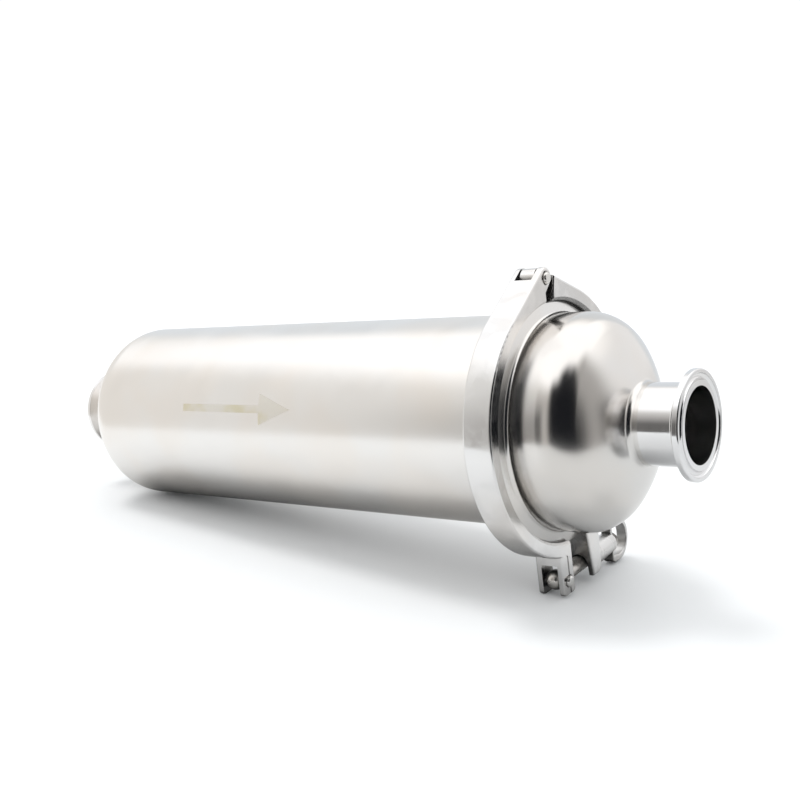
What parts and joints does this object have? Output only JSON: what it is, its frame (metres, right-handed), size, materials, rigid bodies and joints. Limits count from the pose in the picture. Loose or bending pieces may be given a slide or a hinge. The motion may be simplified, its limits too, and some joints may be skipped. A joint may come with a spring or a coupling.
{
  "type": "sanitary inline filter",
  "caption": "Horizontal tubular strainer housing with dished ends, clamp ferrule ports, and a cap held by a hinged ring clamp with a swing bolt.",
  "frame": {"origin": "centre of the inlet ferrule's face", "axes": "+X along the flow from inlet to outlet, +Z towards the hinge of the clamp, the swing bolt runs along +Y"},
  "size_m": [0.4078, 0.131, 0.1629],
  "materials": {
    "satin_tube": "fine satin, faintly mottled",
    "polished_cap": "bright polish with a soft sheen",
    "mirror_port": "mirror polish",
    "cast_clamp": "investment casting, blasted and tumbled",
    "turned_pin": "turned, bright",
    "bolt_steel": "rolled bright steel",
    "cast_nut": "tumbled casting",
    "gasket": "white moulded rubber",
    "strainer_steel": "pickled sheet",
    "wire_mesh": "fine woven wire"
  },
  "bodies": {
    "housing": {"body_tube": "satin_tube", "inlet_dome": "satin_tube", "inlet_ferrule": "mirror_port", "body_clamp_ferrule": "satin_tube", "cap_clamp_ferrule": "polished_cap", "cap_dome": "polished_cap", "outlet_ferrule": "mirror_port", "main_gasket": "gasket", "strainer_collar": "strainer_steel", "strainer_tube": "strainer_steel", "strainer_mesh": "wire_mesh", "mesh_band_inlet": "strainer_steel", "mesh_band_outlet": "strainer_steel", "strainer_end_plug": "strainer_steel", "clamp_front_half": "cast_clamp", "clamp_hinge_pin": "turned_pin", "bolt_pivot_pin": "turned_pin"},
    "rear_half": {"clamp_rear_half": "cast_clamp"},
    "swing_bolt": {"eye_bolt": "bolt_steel"},
    "nut": {"ring_nut": "cast_nut"}
  },
  "joints": [
    {"name": "bolt_swing", "type": "hinge", "parent": "housing", "child": "swing_bolt", "pos_m": [0.3328, -0.012, -0.0765], "axis": [-1, 0, 0], "range_deg": [0, 180]},
    {"name": "nut_turn", "type": "hinge", "parent": "swing_bolt", "child": "nut", "pos_m": [0.3328, 0.03, -0.0765], "axis": [0, 1, 0], "range_deg": [0, 1890]},
    {"name": "rear_half_opening", "type": "hinge", "parent": "housing", "child": "rear_half", "pos_m": [0.3328, -0.004, 0.0695], "axis": [1, 0, 0], "range_deg": [0, 3]}
  ],
  "couplings": [
    {"joint": "rear_half_opening", "follows": "bolt_swing", "ratio": 0.016667}
  ]
}
